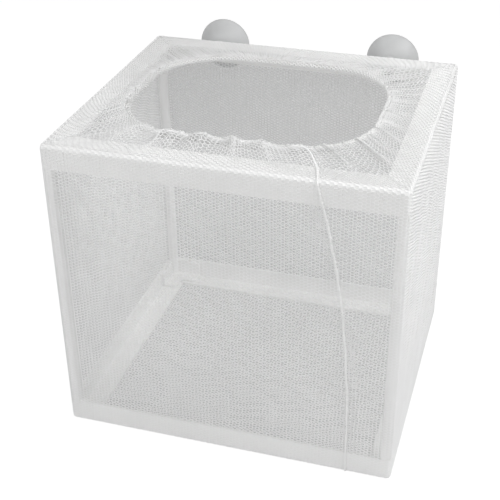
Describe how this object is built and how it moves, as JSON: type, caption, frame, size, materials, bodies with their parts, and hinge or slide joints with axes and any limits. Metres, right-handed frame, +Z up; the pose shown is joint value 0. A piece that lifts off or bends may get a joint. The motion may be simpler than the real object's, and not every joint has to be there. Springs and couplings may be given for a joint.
{
  "type": "fish breeding box",
  "caption": "Cube-shaped net enclosure for fish fry: a net bag over a plastic rail frame, with an elastic-hemmed mouth on top and suction cups behind the rear top rail.",
  "frame": {"origin": "middle of the net's underside, below the centre of the frame", "axes": "+Z up through the mouth, +Y to the rear where the suction cups are, +X to the right seen from the front"},
  "size_m": [0.17, 0.1617, 0.1683],
  "materials": {
    "frame_plastic": "satin white moulded plastic",
    "net_mesh": "fine white hexagonal knitted net",
    "hem_net": "bunched and stitched white net",
    "elastic": "white covered elastic",
    "clear_soft_plastic": "greyish translucent soft vinyl"
  },
  "bodies": {
    "box": {"top_front_rail": "frame_plastic", "top_rear_rail": "frame_plastic", "top_left_rail": "frame_plastic", "top_right_rail": "frame_plastic", "bottom_front_rail": "frame_plastic", "bottom_rear_rail": "frame_plastic", "bottom_left_rail": "frame_plastic", "bottom_right_rail": "frame_plastic", "front_left_post": "frame_plastic", "front_right_post": "frame_plastic", "rear_left_post": "frame_plastic", "rear_right_post": "frame_plastic", "top_front_left_corner": "frame_plastic", "top_front_right_corner": "frame_plastic", "top_rear_left_corner": "frame_plastic", "top_rear_right_corner": "frame_plastic", "bottom_front_left_corner": "frame_plastic", "bottom_front_right_corner": "frame_plastic", "bottom_rear_left_corner": "frame_plastic", "bottom_rear_right_corner": "frame_plastic", "net_front": "net_mesh", "net_rear": "net_mesh", "net_left": "net_mesh", "net_right": "net_mesh", "net_floor": "net_mesh", "net_top": "net_mesh", "mouth_hem": "hem_net", "hem_elastic": "elastic", "front_seam": "hem_net"},
    "left_cup": {"left_suction_cup": "clear_soft_plastic"},
    "right_cup": {"right_suction_cup": "clear_soft_plastic"}
  },
  "joints": [
    {"name": "left_cup_spin", "type": "hinge", "parent": "box", "child": "left_cup", "pos_m": [-0.048, 0.075, 0.154], "axis": [0, 1, 0], "continuous": true},
    {"name": "right_cup_spin", "type": "hinge", "parent": "box", "child": "right_cup", "pos_m": [0.048, 0.075, 0.154], "axis": [0, 1, 0], "continuous": true}
  ]
}
